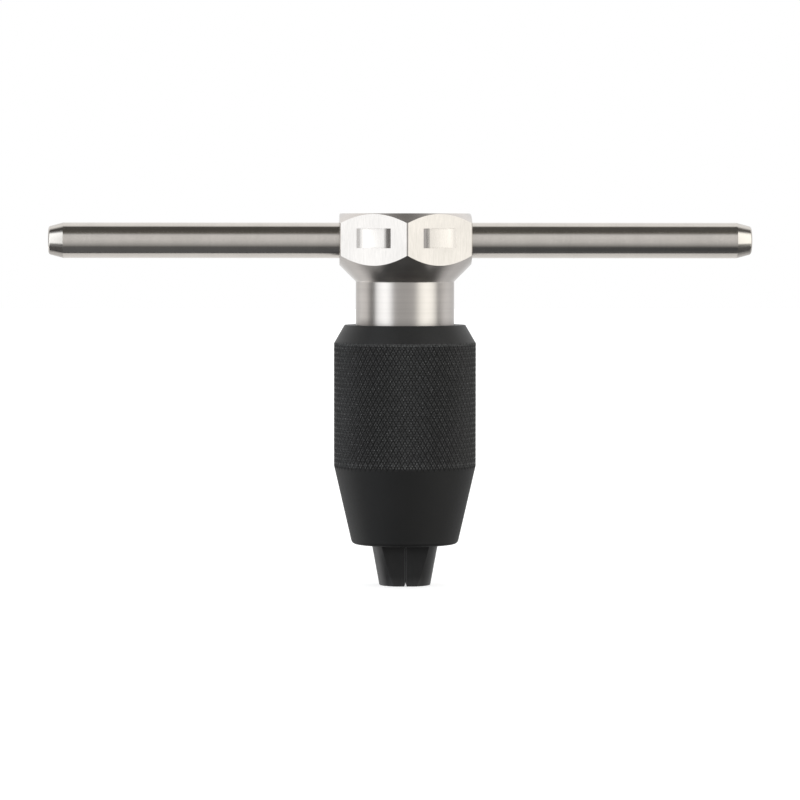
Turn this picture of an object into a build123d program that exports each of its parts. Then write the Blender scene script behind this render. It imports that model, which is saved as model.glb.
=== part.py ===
from build123d import *
import math
import os

# Tapping collet with a sliding T-bar, in millimetres.
# Z is the tool's axis. The jaw tips are at Z = 0 and the T-bar is at the top, along X.
# The collet stands closed: the jaws meet, and the sleeve is screwed right up.

os.makedirs("parts", exist_ok=True)

# Hexagon head, a one inch drive
HEX_AF = 25.4
HEX_TURNED_R = 14.58
HEX_TOP_Z = 71.97
HEX_TOP_DEG = 42.5
HEX_FACE_TOP_R = 12.56
HEX_UNDER_DEG = 45.0
NECK_R = 19.05 / 2
NECK_TOP_Z = 58.8
NECK_ROOT_BREAK = 0.06

# Shallow pockets in the four faces that the bar doesn't cross
POCKET_Z = 67.2
POCKET_H = 3.75
POCKET_RAMP_W = 0.62
POCKET_RAMP_DEG = 14.5
POCKET_BEND_R = 6.3
POCKET_MIDDLE_R = 23.65
POCKET_MIDDLE_DEG = 5.0
POCKET_CUT_OVER = 1.0
POCKET_FACES_DEG = (60, 120, 240, 300)

# T-bar
BAR_R = 3.45
BAR_LENGTH = 135.9
BAR_Z = 66.76
BAR_SHIFT_X = -0.83
BAR_TAPER = 2.85
BAR_TAPER_DEG = 15.0
BAR_END_ROUND = 0.5
BAR_HOLE_R = 3.5
BAR_HOLE_CHAMFER = 0.3

# Screw thread between body and sleeve, 3/4 inch at 16 turns to the inch
THREAD_PITCH = 25.4 / 16
THREAD_DEPTH = 0.82
THREAD_HALF_WIDTH = 0.62
BODY_THREAD_Z = (22.0, 37.5)
SLEEVE_THREAD_Z = (31.0, 37.5)
THREAD_CUT_OVER = 0.1

# Closing cone shared by the jaws, the nose and the sleeve
CONE_DEG = 10.5
JAW_TIP_R = 4.96
SLEEVE_TURNS = 5
CONE_SLOPE = math.tan(math.radians(CONE_DEG))
SLEEVE_TRAVEL = SLEEVE_TURNS * THREAD_PITCH
JAW_TRAVEL = SLEEVE_TRAVEL * CONE_SLOPE

# Jaws
JAW_HALF_WIDTH = 4.45
JAW_TOP_Z = 21.95
JAW_MAX_R = 8.6
JAW_HALF_SLIT = 0.04
JAW_TIP_BREAK = 0.08
TAP_SQUARE_AF = 2.79
TAP_SQUARE_DEPTH = 12.6
NOTCH_W = 0.2
NOTCH_H = 0.58

# Nose of the body, with the slot that carries the jaws
SLOT_HALF_WIDTH = 4.5
SLOT_TOP_Z = 22.0
NOSE_R = 8.4
NOSE_TIP_Z = 9.5
NOSE_GAP = 0.35
CAVITY_R = 3.4
CAVITY_TOP_Z = 44.0

# Spring-loaded ball that holds the bar, with the plug under its spring
BALL_R = 2.38
BALL_GAP = 0.03
BALL_BORE_R = 2.45
PLUG_R = 3.0
PLUG_TOP_Z = 50.0
PLUG_LENGTH = 5.5
PLUG_HEX_AF = 3.0
PLUG_HEX_DEPTH = 2.6
PLUG_CHAMFER = 0.3
PLUG_HOLE_GAP = 0.02
BAR_SPRING_R = 1.75
BAR_SPRING_WIRE_R = 0.25
BAR_SPRING_PITCH = 1.2
SPRING_END_GAP = 0.03

# Springs that part the jaws, each on a guide pin
JAW_SPRING_Z = {"lower": 15.4, "upper": 19.1}
JAW_SPRING_R = 0.9
JAW_SPRING_WIRE_R = 0.14
JAW_SPRING_PITCH = 0.52
SPRING_POCKET_R = 1.15
SPRING_POCKET_DEPTH = 2.4
PIN_R = 0.6
PIN_LEFT_X = -4.9
PIN_RIGHT_X = 5.6
PIN_BLIND_X = 5.9
PIN_HOLE_GAP = 0.06
PIN_PRESS_GAP = 0.01
PIN_CHAMFER = 0.12

# Closing sleeve
SLEEVE_BOTTOM_Z = 8.0
SLEEVE_BOTTOM_R = 10.24
SLEEVE_BOTTOM_ROUND = 0.9
SLEEVE_CONE_TOP_Z = 23.23
SLEEVE_R = 13.75
SLEEVE_SHOULDER_Z = 46.87
SLEEVE_TOP_Z = 50.43
SLEEVE_TOP_R = 11.7
SLEEVE_BORE_R = 9.65
SLEEVE_CONE_GAP = 0.12
SLEEVE_MOUTH_BREAK = 0.3
SLEEVE_BORE_BREAK = 0.2
RELIEF_R = 10.3
RELIEF_Z = (21.5, 31.0)

# Rubber drag ring in the sleeve's upper bore
RING_Z = 46.4
RING_SECTION_R = 0.7
RING_NECK_GAP = 0.06
RING_GROOVE_GAP = 0.08

# Largest difference at which two measures count as the same
SAME = 1e-6


def cone_r(z):
    """Radius of the jaws' closing cone at height z."""
    return JAW_TIP_R + CONE_SLOPE * z


def ring_groove_heights(start_z, end_z):
    """Heights of the ring grooves that stand for the thread between two heights."""
    count = int((end_z - start_z - THREAD_PITCH / 2) / THREAD_PITCH)
    return [start_z + THREAD_PITCH * (turn + 1) for turn in range(count)]


def finish(part, name):
    """Labels a finished piece and writes its file."""
    part.label = name
    export_step(part, f"parts/{name}.step")


# Collet body: hexagon head, neck, screw thread and slotted nose
hex_corner_r = HEX_AF / math.sqrt(3)
hex_top_drop = (HEX_TURNED_R - HEX_FACE_TOP_R) * math.tan(math.radians(HEX_TOP_DEG))
under_slope = math.tan(math.radians(HEX_UNDER_DEG))
hex_under_rise = (HEX_TURNED_R - NECK_R) * under_slope
nose_cone_top_z = (NOSE_R + NOSE_GAP - SLEEVE_CONE_GAP - JAW_TIP_R) / CONE_SLOPE
nose_tip_r = cone_r(NOSE_TIP_Z) + SLEEVE_CONE_GAP - NOSE_GAP
thread_root_r = NECK_R - THREAD_DEPTH

# A pocket's floor is a wide arc, then a bend and a straight ramp at each end
pocket_middle = math.radians(POCKET_MIDDLE_DEG)
pocket_ramp = math.radians(POCKET_RAMP_DEG)
ramp_foot_x = (
    POCKET_MIDDLE_R * math.sin(pocket_middle)
    + POCKET_BEND_R * (math.sin(pocket_ramp) - math.sin(pocket_middle))
)
ramp_foot_depth = POCKET_RAMP_W * math.tan(pocket_ramp)
pocket_half_width = ramp_foot_x + POCKET_RAMP_W
bend_centre_x = ramp_foot_x - POCKET_BEND_R * math.sin(pocket_ramp)
bend_centre_y = ramp_foot_depth - POCKET_BEND_R * math.cos(pocket_ramp)
middle_centre_y = bend_centre_y - (POCKET_MIDDLE_R - POCKET_BEND_R) * math.cos(pocket_middle)

with BuildPart() as collet_body:
    with BuildSketch(Plane.XY.offset(NECK_TOP_Z)):
        RegularPolygon(radius=hex_corner_r, side_count=6, rotation=30)
    extrude(amount=HEX_TOP_Z - NECK_TOP_Z)
    with BuildSketch(Plane.XZ):
        with BuildLine():
            Polyline(
                (0, NECK_TOP_Z),
                (NECK_R, NECK_TOP_Z),
                (HEX_TURNED_R, NECK_TOP_Z + hex_under_rise),
                (HEX_TURNED_R, HEX_TOP_Z - hex_top_drop),
                (HEX_FACE_TOP_R, HEX_TOP_Z),
                (0, HEX_TOP_Z),
                close=True,
            )
        make_face()
    revolve(axis=Axis.Z, mode=Mode.INTERSECT)
    with BuildSketch(Plane.XZ):
        with BuildLine():
            Polyline(
                (0, NECK_TOP_Z + NECK_ROOT_BREAK),
                (NECK_R + NECK_ROOT_BREAK / under_slope, NECK_TOP_Z + NECK_ROOT_BREAK),
                (NECK_R, NECK_TOP_Z - NECK_ROOT_BREAK),
                (NECK_R, BODY_THREAD_Z[0] + THREAD_DEPTH),
                (thread_root_r, BODY_THREAD_Z[0]),
                (NOSE_R, SLOT_TOP_Z),
                (NOSE_R, nose_cone_top_z),
                (nose_tip_r, NOSE_TIP_Z),
                (0, NOSE_TIP_Z),
                close=True,
            )
        make_face()
    revolve(axis=Axis.Z)
    for groove_z in ring_groove_heights(*BODY_THREAD_Z):
        with BuildSketch(Plane.XZ):
            with BuildLine():
                Polyline(
                    (NECK_R + THREAD_CUT_OVER, groove_z - THREAD_HALF_WIDTH),
                    (thread_root_r, groove_z),
                    (NECK_R + THREAD_CUT_OVER, groove_z + THREAD_HALF_WIDTH),
                    close=True,
                )
            make_face()
        revolve(axis=Axis.Z, mode=Mode.SUBTRACT)
    with BuildSketch(Plane.YZ.offset(-HEX_AF)):
        with Locations((0, BAR_Z)):
            Circle(BAR_HOLE_R)
    extrude(amount=2 * HEX_AF, mode=Mode.SUBTRACT)
    bar_hole_rims = collet_body.edges().filter_by(GeomType.CIRCLE).filter_by(
        lambda edge: abs(edge.radius - BAR_HOLE_R) < SAME
    )
    chamfer(bar_hole_rims, length=BAR_HOLE_CHAMFER)
    with BuildSketch(Plane.XY.offset(NOSE_TIP_Z)):
        Rectangle(4 * NOSE_R, 2 * SLOT_HALF_WIDTH)
    extrude(amount=SLOT_TOP_Z - NOSE_TIP_Z, mode=Mode.SUBTRACT)
    with BuildSketch(Plane.XY.offset(SLOT_TOP_Z)):
        Circle(CAVITY_R)
    extrude(amount=CAVITY_TOP_Z - SLOT_TOP_Z, mode=Mode.SUBTRACT)
    with BuildSketch(Plane.XY.offset(CAVITY_TOP_Z)):
        Circle(PLUG_R)
    extrude(amount=PLUG_TOP_Z - CAVITY_TOP_Z, mode=Mode.SUBTRACT)
    with BuildSketch(Plane.XY.offset(PLUG_TOP_Z)):
        Circle(BALL_BORE_R)
    extrude(amount=BAR_Z - PLUG_TOP_Z, mode=Mode.SUBTRACT)
    for face_deg in POCKET_FACES_DEG:
        face_rad = math.radians(face_deg)
        outward = Vector(math.cos(face_rad), math.sin(face_rad), 0)
        pocket_base = Plane(
            origin=outward * (HEX_AF / 2) + Vector(0, 0, POCKET_Z - POCKET_H / 2),
            x_dir=Vector(-outward.Y, outward.X, 0),
            z_dir=(0, 0, 1),
        )
        with BuildSketch(pocket_base):
            with BuildLine():
                CenterArc(
                    (0, middle_centre_y), POCKET_MIDDLE_R, 90 - POCKET_MIDDLE_DEG, 2 * POCKET_MIDDLE_DEG
                )
                CenterArc(
                    (bend_centre_x, bend_centre_y),
                    POCKET_BEND_R,
                    90 - POCKET_RAMP_DEG,
                    POCKET_RAMP_DEG - POCKET_MIDDLE_DEG,
                )
                CenterArc(
                    (-bend_centre_x, bend_centre_y),
                    POCKET_BEND_R,
                    90 + POCKET_MIDDLE_DEG,
                    POCKET_RAMP_DEG - POCKET_MIDDLE_DEG,
                )
                Polyline(
                    (-ramp_foot_x, ramp_foot_depth),
                    (-pocket_half_width, 0),
                    (-pocket_half_width, -POCKET_CUT_OVER),
                    (pocket_half_width, -POCKET_CUT_OVER),
                    (pocket_half_width, 0),
                    (ramp_foot_x, ramp_foot_depth),
                )
            make_face()
        extrude(amount=POCKET_H, mode=Mode.SUBTRACT)
finish(collet_body.part, "collet_body")

# T-bar: a round bar with tapered ends, which slides through the hexagon head
bar_end_r = BAR_R - BAR_TAPER * math.tan(math.radians(BAR_TAPER_DEG))
bar_end_x = BAR_LENGTH / 2

with BuildPart() as t_bar:
    with BuildSketch(Plane.XZ) as bar_profile:
        with BuildLine():
            Polyline(
                (BAR_SHIFT_X - bar_end_x, BAR_Z),
                (BAR_SHIFT_X - bar_end_x, BAR_Z + bar_end_r),
                (BAR_SHIFT_X - bar_end_x + BAR_TAPER, BAR_Z + BAR_R),
                (BAR_SHIFT_X + bar_end_x - BAR_TAPER, BAR_Z + BAR_R),
                (BAR_SHIFT_X + bar_end_x, BAR_Z + bar_end_r),
                (BAR_SHIFT_X + bar_end_x, BAR_Z),
                close=True,
            )
        make_face()
        end_corners = bar_profile.vertices().filter_by(
            lambda corner: abs(corner.Z - (BAR_Z + bar_end_r)) < SAME
        )
        fillet(end_corners, radius=BAR_END_ROUND)
    revolve(axis=Axis((0, 0, BAR_Z), (1, 0, 0)))
finish(t_bar.part, "t_bar")

# Ball that presses up on the bar
ball_z = BAR_Z - BAR_R - BALL_GAP - BALL_R

with BuildPart() as bar_ball:
    with Locations((0, 0, ball_z)):
        Sphere(BALL_R)
finish(bar_ball.part, "bar_ball")

# Coil spring under the ball, from the plug's top to the ball's lower side
ball_seat_drop = math.sqrt((BALL_R + BAR_SPRING_WIRE_R) ** 2 - BAR_SPRING_R**2)
bar_spring_bottom_z = PLUG_TOP_Z + BAR_SPRING_WIRE_R + SPRING_END_GAP
bar_spring_top_z = ball_z - ball_seat_drop - SPRING_END_GAP

with BuildPart() as bar_spring:
    with BuildLine() as bar_coil:
        Helix(
            pitch=BAR_SPRING_PITCH,
            height=bar_spring_top_z - bar_spring_bottom_z,
            radius=BAR_SPRING_R,
            center=(0, 0, bar_spring_bottom_z),
        )
    with BuildSketch(Plane(origin=bar_coil.line @ 0, z_dir=bar_coil.line % 0)):
        Circle(BAR_SPRING_WIRE_R)
    sweep(path=bar_coil.line, is_frenet=True)
finish(bar_spring.part, "bar_spring")

# Grub screw that holds the ball's spring in the body
with BuildPart() as spring_plug:
    with BuildSketch(Plane.XY.offset(PLUG_TOP_Z - PLUG_LENGTH)):
        Circle(PLUG_R - PLUG_HOLE_GAP)
    extrude(amount=PLUG_LENGTH)
    chamfer(spring_plug.edges().filter_by(GeomType.CIRCLE), length=PLUG_CHAMFER)
    with BuildSketch(Plane.XY.offset(PLUG_TOP_Z - PLUG_LENGTH)):
        RegularPolygon(radius=PLUG_HEX_AF / 2, side_count=6, major_radius=False)
    extrude(amount=PLUG_HEX_DEPTH, mode=Mode.SUBTRACT)
finish(spring_plug.part, "spring_plug")

# Two jaws, mirror images, with a square socket between them
tap_half_diagonal = TAP_SQUARE_AF / math.sqrt(2)
cone_full_z = (JAW_MAX_R - JAW_TIP_R) / CONE_SLOPE

for side, name in ((-1, "jaw_left"), (1, "jaw_right")):
    pin_hole_r = PIN_R + (PIN_HOLE_GAP if side > 0 else PIN_PRESS_GAP)
    pin_hole_depth = PIN_BLIND_X if side > 0 else -PIN_LEFT_X
    with BuildPart() as jaw:
        with BuildSketch(Plane.XZ):
            with BuildLine():
                Polyline(
                    (0, 0),
                    (JAW_TIP_R - JAW_TIP_BREAK, 0),
                    (cone_r(JAW_TIP_BREAK), JAW_TIP_BREAK),
                    (JAW_MAX_R, cone_full_z),
                    (JAW_MAX_R, JAW_TOP_Z),
                    (0, JAW_TOP_Z),
                    close=True,
                )
            make_face()
        revolve(axis=Axis.Z)
        with BuildSketch(Plane.XY):
            with Locations((side * (JAW_MAX_R + JAW_HALF_SLIT), 0)):
                Rectangle(2 * JAW_MAX_R, 2 * JAW_HALF_WIDTH)
        extrude(amount=JAW_TOP_Z, mode=Mode.INTERSECT)
        with BuildSketch(Plane.XY):
            Rectangle(TAP_SQUARE_AF, TAP_SQUARE_AF, rotation=45)
        extrude(amount=TAP_SQUARE_DEPTH, mode=Mode.SUBTRACT)
        with BuildSketch(Plane.XZ.offset(-JAW_MAX_R)):
            with BuildLine():
                Polyline(
                    (0, 0),
                    (side * (JAW_HALF_SLIT + NOTCH_W), 0),
                    (side * JAW_HALF_SLIT, NOTCH_H),
                    (0, NOTCH_H),
                    close=True,
                )
            make_face()
        extrude(amount=2 * JAW_MAX_R, mode=Mode.SUBTRACT)
        inner_face = Plane(origin=(side * JAW_HALF_SLIT, 0, 0), x_dir=(0, side, 0), z_dir=(side, 0, 0))
        for spring_z in JAW_SPRING_Z.values():
            with BuildSketch(inner_face):
                with Locations((0, spring_z)):
                    Circle(SPRING_POCKET_R)
            extrude(amount=SPRING_POCKET_DEPTH, mode=Mode.SUBTRACT)
            with BuildSketch(inner_face):
                with Locations((0, spring_z)):
                    Circle(pin_hole_r)
            extrude(amount=pin_hole_depth - JAW_HALF_SLIT, mode=Mode.SUBTRACT)
    finish(jaw.part, name)

# Springs between the jaws and the pins that guide them
jaw_spring_half = JAW_HALF_SLIT + SPRING_POCKET_DEPTH - JAW_SPRING_WIRE_R - SPRING_END_GAP

for place, spring_z in JAW_SPRING_Z.items():
    with BuildPart() as jaw_spring:
        with BuildLine() as jaw_coil:
            Helix(
                pitch=JAW_SPRING_PITCH,
                height=2 * jaw_spring_half,
                radius=JAW_SPRING_R,
                center=(-jaw_spring_half, 0, spring_z),
                direction=(1, 0, 0),
            )
        with BuildSketch(Plane(origin=jaw_coil.line @ 0, z_dir=jaw_coil.line % 0)):
            Circle(JAW_SPRING_WIRE_R)
        sweep(path=jaw_coil.line, is_frenet=True)
    finish(jaw_spring.part, f"jaw_spring_{place}")

    with BuildPart() as jaw_pin:
        with BuildSketch(Plane.YZ.offset(PIN_LEFT_X)):
            with Locations((0, spring_z)):
                Circle(PIN_R)
        extrude(amount=PIN_RIGHT_X - PIN_LEFT_X)
        chamfer(jaw_pin.edges().filter_by(GeomType.CIRCLE), length=PIN_CHAMFER)
    finish(jaw_pin.part, f"jaw_pin_{place}")

# Closing sleeve: knurled outside, closing cone and thread inside
mouth_r = cone_r(SLEEVE_BOTTOM_Z) + SLEEVE_CONE_GAP
cone_top_r = cone_r(RELIEF_Z[0]) + SLEEVE_CONE_GAP
ring_centre_r = NECK_R + RING_NECK_GAP + RING_SECTION_R
groove_r = ring_centre_r + RING_SECTION_R + RING_GROOVE_GAP
groove_half = RING_SECTION_R + RING_GROOVE_GAP

with BuildPart() as closing_sleeve:
    with BuildSketch(Plane.XZ) as sleeve_profile:
        with BuildLine():
            Polyline(
                (mouth_r + SLEEVE_MOUTH_BREAK, SLEEVE_BOTTOM_Z),
                (SLEEVE_BOTTOM_R, SLEEVE_BOTTOM_Z),
                (SLEEVE_R, SLEEVE_CONE_TOP_Z),
                (SLEEVE_R, SLEEVE_SHOULDER_Z),
                (SLEEVE_TOP_R, SLEEVE_TOP_Z),
                (SLEEVE_BORE_R + SLEEVE_BORE_BREAK, SLEEVE_TOP_Z),
                (SLEEVE_BORE_R, SLEEVE_TOP_Z - SLEEVE_BORE_BREAK),
                (SLEEVE_BORE_R, RING_Z + groove_half),
                (groove_r, RING_Z + groove_half),
                (groove_r, RING_Z - groove_half),
                (SLEEVE_BORE_R, RING_Z - groove_half),
                (SLEEVE_BORE_R, RELIEF_Z[1]),
                (RELIEF_R, RELIEF_Z[1] - (RELIEF_R - SLEEVE_BORE_R)),
                (RELIEF_R, RELIEF_Z[0]),
                (cone_top_r, RELIEF_Z[0]),
                (mouth_r, SLEEVE_BOTTOM_Z + SLEEVE_MOUTH_BREAK),
                close=True,
            )
        make_face()
        lower_corner = sleeve_profile.vertices().filter_by(
            lambda corner: abs(corner.X - SLEEVE_BOTTOM_R) < SAME
        )
        fillet(lower_corner, radius=SLEEVE_BOTTOM_ROUND)
    revolve(axis=Axis.Z)
    for groove_z in ring_groove_heights(*SLEEVE_THREAD_Z):
        with BuildSketch(Plane.XZ):
            with BuildLine():
                Polyline(
                    (SLEEVE_BORE_R - THREAD_CUT_OVER, groove_z - THREAD_HALF_WIDTH),
                    (SLEEVE_BORE_R + THREAD_DEPTH, groove_z),
                    (SLEEVE_BORE_R - THREAD_CUT_OVER, groove_z + THREAD_HALF_WIDTH),
                    close=True,
                )
            make_face()
        revolve(axis=Axis.Z, mode=Mode.SUBTRACT)
finish(closing_sleeve.part, "closing_sleeve")

# Rubber drag ring, which keeps the sleeve from turning by itself
with BuildPart() as sleeve_drag_ring:
    with BuildSketch(Plane.XZ):
        with Locations((ring_centre_r, RING_Z)):
            Circle(RING_SECTION_R)
    revolve(axis=Axis.Z)
finish(sleeve_drag_ring.part, "sleeve_drag_ring")

print(f"sleeve travel {SLEEVE_TRAVEL:.4f}, jaw travel {JAW_TRAVEL:.4f}")
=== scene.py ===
import math
import bpy
import numpy as np
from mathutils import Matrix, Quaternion, Vector


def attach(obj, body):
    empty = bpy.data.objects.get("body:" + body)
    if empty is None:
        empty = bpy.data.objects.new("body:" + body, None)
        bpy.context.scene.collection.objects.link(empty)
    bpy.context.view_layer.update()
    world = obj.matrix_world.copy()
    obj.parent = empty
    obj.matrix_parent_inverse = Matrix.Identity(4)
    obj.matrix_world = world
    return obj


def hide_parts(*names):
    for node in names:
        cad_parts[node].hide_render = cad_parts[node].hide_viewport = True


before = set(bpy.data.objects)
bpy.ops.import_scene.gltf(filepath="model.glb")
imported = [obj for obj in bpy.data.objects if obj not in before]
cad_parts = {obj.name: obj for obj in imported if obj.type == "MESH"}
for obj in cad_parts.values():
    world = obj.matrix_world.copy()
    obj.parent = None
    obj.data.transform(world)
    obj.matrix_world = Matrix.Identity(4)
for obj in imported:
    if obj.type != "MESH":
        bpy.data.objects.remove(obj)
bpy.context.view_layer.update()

bl_info = {
    "name": "Tapping collet",
    "version": (1, 0, 0),
    "blender": (4, 5, 0),
    "location": "3D View > Sidebar > Collet",
    "description": "Makes the knurled sleeve, bar, finishes and stage of a T-handle tapping collet",
    "category": "Object",
}

# Rows and columns of the knurled sleeve's mesh to one spacing of its grooves
STEPS_PER_START = 8
# Points on the sleeve's rounded lower edge and on the bar's end edge, and rows along half of the bar
SLEEVE_EDGE_POINTS = 9
BAR_EDGE_POINTS = 7
BAR_ROWS = 8
# A millimetre in metres
MM = 0.001

# Studio light by azimuth in degrees from the front: its level, and L or R where a softbox with a tint stands.
# A colour ramp takes 32 stops at most.
LIGHT_ROUND = (
    (-180, 0.95, "-"), (-158, 0.80, "-"), (-146, 0.66, "-"), (-136, 0.83, "-"), (-122, 0.70, "-"),
    (-104, 0.65, "-"), (-96, 0.44, "-"), (-93, 0.22, "-"), (-82, 0.22, "-"), (-77, 0.50, "-"),
    (-74, 1.95, "L"), (-70, 2.20, "L"), (-60, 2.34, "L"), (-48, 2.98, "L"), (-38, 2.52, "L"),
    (-33, 1.70, "L"), (-27, 0.82, "-"), (22, 0.87, "-"), (30, 1.80, "R"), (36, 2.30, "R"),
    (48, 2.62, "R"), (60, 2.22, "R"), (70, 1.98, "R"), (76, 1.35, "R"), (81, 0.55, "-"),
    (87, 0.55, "-"), (92, 0.85, "-"), (104, 1.01, "-"), (118, 0.97, "-"), (132, 0.85, "-"),
    (146, 0.70, "-"), (180, 0.95, "-"),
)
# Share of that light by elevation in degrees, in front and away from the softboxes, and the name of its tint
LIGHT_UP = (
    (-90, 0.075, "cool"), (-50, 0.080, "cool"), (-43, 0.16, "plain"), (-37, 0.36, "plain"),
    (-32, 0.48, "plain"), (-25, 0.62, "plain"), (-12, 0.83, "plain"), (1, 0.94, "plain"),
    (14, 1.0, "plain"), (30, 1.0, "plain"), (36, 0.86, "plain"), (41, 0.53, "plain"),
    (47, 0.22, "warm"), (54, 0.130, "warm"), (90, 0.090, "warm"),
)
LIGHT_UP_TINTS = {"cool": (0.94, 1.0, 1.08), "plain": (1.0, 1.0, 1.0), "warm": (1.055, 1.0, 0.90)}
# Elevation of the softboxes' upper edge, and how wide their edges blur, in degrees
SOFTBOX_TOP = 48.0
SOFTBOX_TOP_BLUR = 12.0
# The softboxes' lower edge: two azimuths either side of the front, and the elevation of the edge at each
SOFTBOX_FOOT = (50.0, 60.0, -20.0, -32.0)
SOFTBOX_FOOT_BLUR = 10.0
# Level above and below the softboxes
PAST_SOFTBOX = 0.13
# Cards that brighten or shade the backdrop: lowest and highest azimuth and how wide these edges blur, the
# same for elevation, all in degrees, and the share of light that the card adds
CARDS = (
    ((-142.0, -96.0, 12.0), (-66.0, -8.0, 12.0), 0.30),
    ((-136.0, -94.0, 10.0), (-30.0, -11.0, 8.0), 1.60),
    ((100.0, 170.0, 12.0), (-45.0, -8.0, 12.0), -0.08),
)
# Light that is added in front, far down on the left: across by x, up by elevation. This and the rest are
# steps: where a change starts and ends and, unless it goes from 0 to 1, the amount at each.
LEFT_BELOW_ACROSS = (-0.06, 0.12, 0.12, 0.0)
LEFT_BELOW_UP = (-50.0, -42.0, 1.0, 0.0)
# The backdrop's level by elevation, its sides by the distance from x = BACKDROP_MIDDLE, and their foot
BACKDROP_LEVEL = (-62.0, 42.0, 1.08, 1.15)
BACKDROP_MIDDLE = -0.02
BACKDROP_SIDES = (0.36, 0.46)
BACKDROP_SIDE_FOOT = (-60.0, -36.0, 0.15, 1.0)
# Elevations between which the backdrop evens out, and its level above them by azimuth to either side
BACKDROP_TOP = (5.0, 30.0)
BACKDROP_TOP_LEVEL = (148.0, 172.0, 1.2, 0.98)
# Where front turns into back, by y: at the tool's height and overhead, and what counts as overhead, by z
SEAM_LEVEL = (0.015, 0.085)
SEAM_OVERHEAD = (0.06, 0.38)
OVERHEAD = (0.2, 0.9)


# Settings

def length(label, note, default):
    """A size in metres that a user can change."""
    return bpy.props.FloatProperty(
        name=label, description=note, default=default, precision=5, unit="LENGTH"
    )


def turn(label, note, degrees):
    """An angle that a user can change, stored in radians."""
    return bpy.props.FloatProperty(
        name=label,
        description=note,
        default=math.radians(degrees),
        precision=4,
        unit="ROTATION",
        subtype="ANGLE",
    )


def colour(label, note, default):
    """A colour that a user can change."""
    return bpy.props.FloatVectorProperty(
        name=label, description=note, default=(*default, 1.0), size=4, min=0.0, max=1.0, subtype="COLOR"
    )


def share(label, note, default, highest=1.0):
    """A plain number from 0 up that a user can change."""
    return bpy.props.FloatProperty(
        name=label, description=note, default=default, min=0.0, max=highest, precision=4, subtype="FACTOR"
    )


class SleeveSizes(bpy.types.PropertyGroup):
    """Sizes of the knurled closing sleeve."""
    bottom_z: length("Bottom height", "Height of the lower face", 0.0080)
    bottom_radius: length("Bottom radius", "Radius of the lower face before its edge is rounded", 0.01024)
    bottom_round: length("Bottom round", "Radius of the rounded lower edge", 0.0009)
    cone_top_z: length("Taper top", "Height where the lower taper meets the knurl", 0.02323)
    crest_radius: length("Knurl radius", "Radius over the knurl's crests", 0.01375)
    shoulder_z: length("Shoulder height", "Height where the knurl meets the upper chamfer", 0.04687)
    top_z: length("Top height", "Height of the upper face", 0.05043)
    top_radius: length("Top radius", "Outer radius of the upper face", 0.0117)
    bore_radius: length("Bore radius", "Radius of the bore that runs on the neck", 0.00965)
    bore_break: length("Bore edge", "Break on the upper edge of the bore", 0.0002)
    cone_foot_radius: length("Closing cone foot", "Radius of the closing cone at height 0", 0.00508)
    cone_angle: turn("Closing cone angle", "Angle of the closing cone from the axis", 10.5)
    mouth_break: length("Mouth edge", "Break on the lower edge of the closing cone", 0.0003)
    relief_radius: length("Relief radius", "Radius of the turned relief below the thread", 0.0103)
    relief_low: length("Relief bottom", "Height of the relief's lower end", 0.0215)
    relief_high: length("Relief top", "Height of the relief's upper end", 0.0310)
    thread_pitch: length("Thread pitch", "Distance between the thread's grooves", 0.0015875)
    thread_depth: length("Thread depth", "Depth of the thread's grooves", 0.00082)
    thread_half: length("Thread half width", "Half the width of a thread groove at the bore", 0.00055)
    thread_count: bpy.props.IntProperty(
        name="Thread grooves", description="Number of thread grooves in the bore", default=3, min=0, max=9
    )
    ring_z: length("Drag ring height", "Height of the drag ring's groove", 0.0464)
    ring_half: length("Drag ring half height", "Half the height of the drag ring's groove", 0.00078)
    ring_radius: length("Drag ring groove radius", "Radius at the floor of the drag ring's groove", 0.011065)
    knurl_starts: bpy.props.IntProperty(
        name="Knurl starts", description="Grooves of one hand round the sleeve", default=75, min=20, max=90
    )
    knurl_rise: length("Knurl rise", "Height between two grooves of one hand", 0.00194)
    knurl_depth: length("Knurl depth", "Depth of the knurl's grooves", 0.00016)
    knurl_half: share("Groove half width", "Half a groove's width as a share of the spacing", 0.1875)
    knurl_second: share("Second grooves", "Depth of the grooves midway, as a share of the others'", 0.56)
    knurl_second_half: share("Second half width", "Half their width as a share of the spacing", 0.125)
    knurl_right: turn("Right hand phase", "Place of the grooves that climb to the left", 24.6)
    knurl_left: turn("Left hand phase", "Place of the grooves that climb to the right", -130.4)


class BarSizes(bpy.types.PropertyGroup):
    """Sizes of the sliding T-bar."""
    radius: length("Radius", "Radius of the bar", 0.00345)
    length: length("Length", "Length over both ends", 0.1359)
    height: length("Height", "Height of the bar's axis", 0.06676)
    shift: length("Shift", "How far the bar stands towards +X at rest", -0.00083)
    taper: length("Taper", "Length of the taper at each end", 0.00285)
    taper_angle: turn("Taper angle", "Angle of the end tapers from the axis", 15.0)
    end_round: length("End round", "Radius of the edge between taper and end face", 0.0005)
    around: bpy.props.IntProperty(
        name="Segments", description="Segments round the bar", default=192, min=24, max=512
    )


class HeadSizes(bpy.types.PropertyGroup):
    """Heights and radii that tell the head's flats from its turned cones."""
    across_flats: length("Across flats", "Width across the hexagon's flats", 0.0254)
    neck_radius: length("Neck radius", "Radius of the neck", 0.009525)
    neck_top_z: length("Neck top", "Height where the lower cone leaves the neck", 0.0588)
    under_angle: turn("Lower cone angle", "Angle of the lower cone above a level plane", 45.0)
    top_z: length("Top height", "Height of the upper face", 0.07197)
    top_radius: length("Top radius", "Outer radius of the upper face", 0.01256)
    top_angle: turn("Upper cone angle", "Angle of the upper cone below a level plane", 42.5)


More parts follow.
